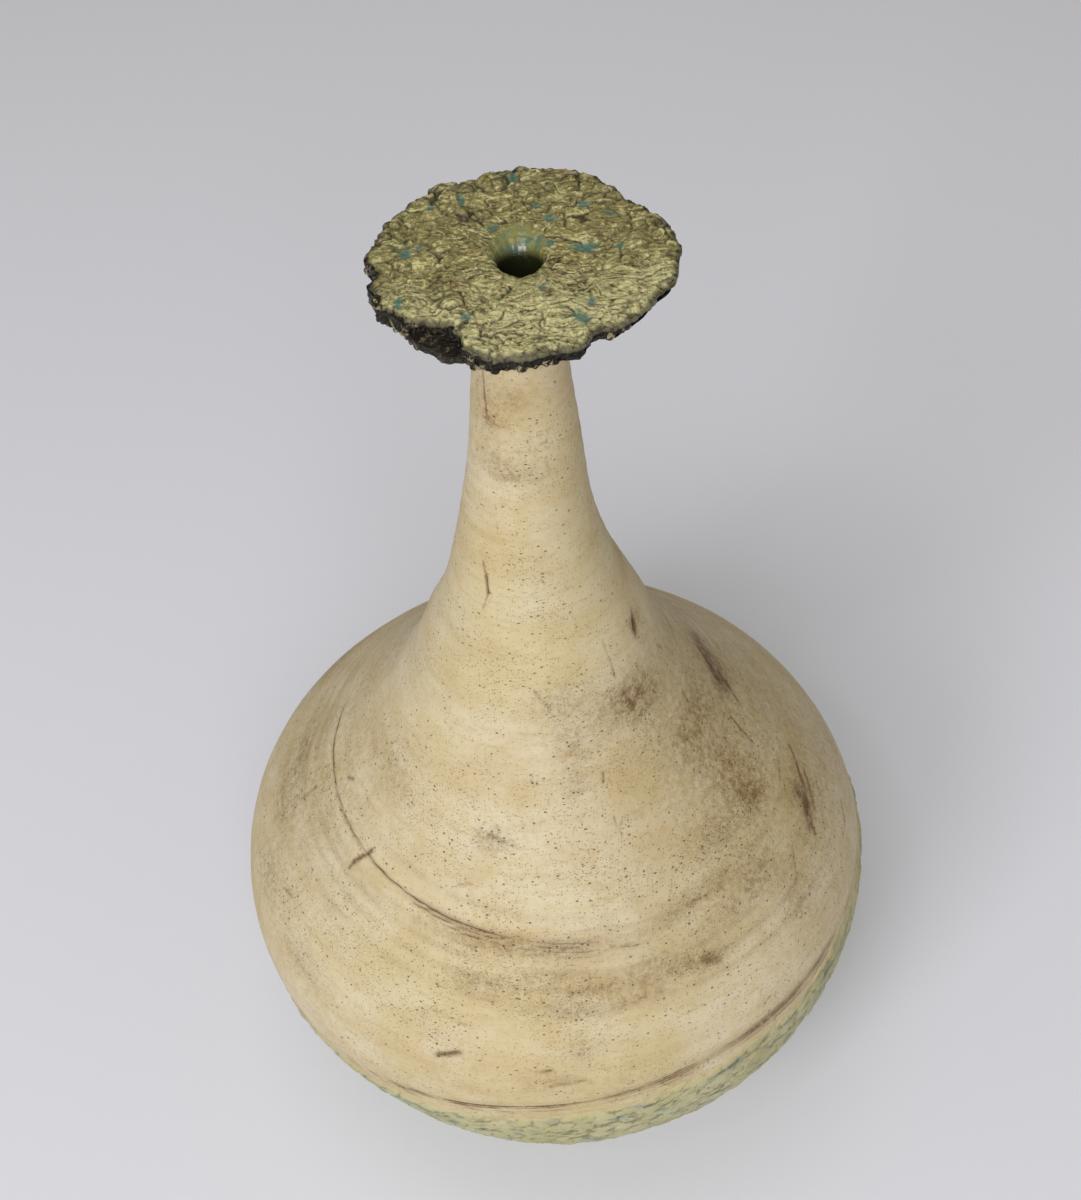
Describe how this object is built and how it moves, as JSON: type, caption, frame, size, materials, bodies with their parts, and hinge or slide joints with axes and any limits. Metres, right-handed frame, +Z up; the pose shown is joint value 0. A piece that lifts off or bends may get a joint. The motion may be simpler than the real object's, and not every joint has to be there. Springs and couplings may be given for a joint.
{
  "type": "ceramic bottle flask",
  "caption": "Stoneware bottle flask: globular unglazed body, long tapering neck, torn slab disc round a funnel mouth, rough coat below and a low foot ring.",
  "frame": {"origin": "middle of the foot ring where it meets the table", "axes": "+Z up along the neck, -Y towards the side with the chipped rim"},
  "size_m": [0.2195, 0.2204, 0.3532],
  "materials": {
    "body_clay": "dry cream stoneware with dark grog pits and brown stains",
    "joint_slip": "dry cream slip",
    "rim_clay": "rough dark torn clay",
    "rim_glaze": "crackled olive gold glaze with turquoise flecks",
    "edge_glaze": "dark brown black iron glaze",
    "base_crust": "rough pale green coat with blue grey flecks"
  },
  "bodies": {
    "root": {"foot_ring": "body_clay", "foot_slip": "joint_slip", "base_bowl": "body_clay", "body_slip": "joint_slip", "shoulder_dome": "body_clay", "neck_slip": "joint_slip", "neck": "body_clay", "rim_slip": "joint_slip", "rim_disc": "rim_clay", "rim_glaze": "rim_glaze", "edge_glaze": "edge_glaze", "base_crust": "base_crust"}
  },
  "joints": []
}
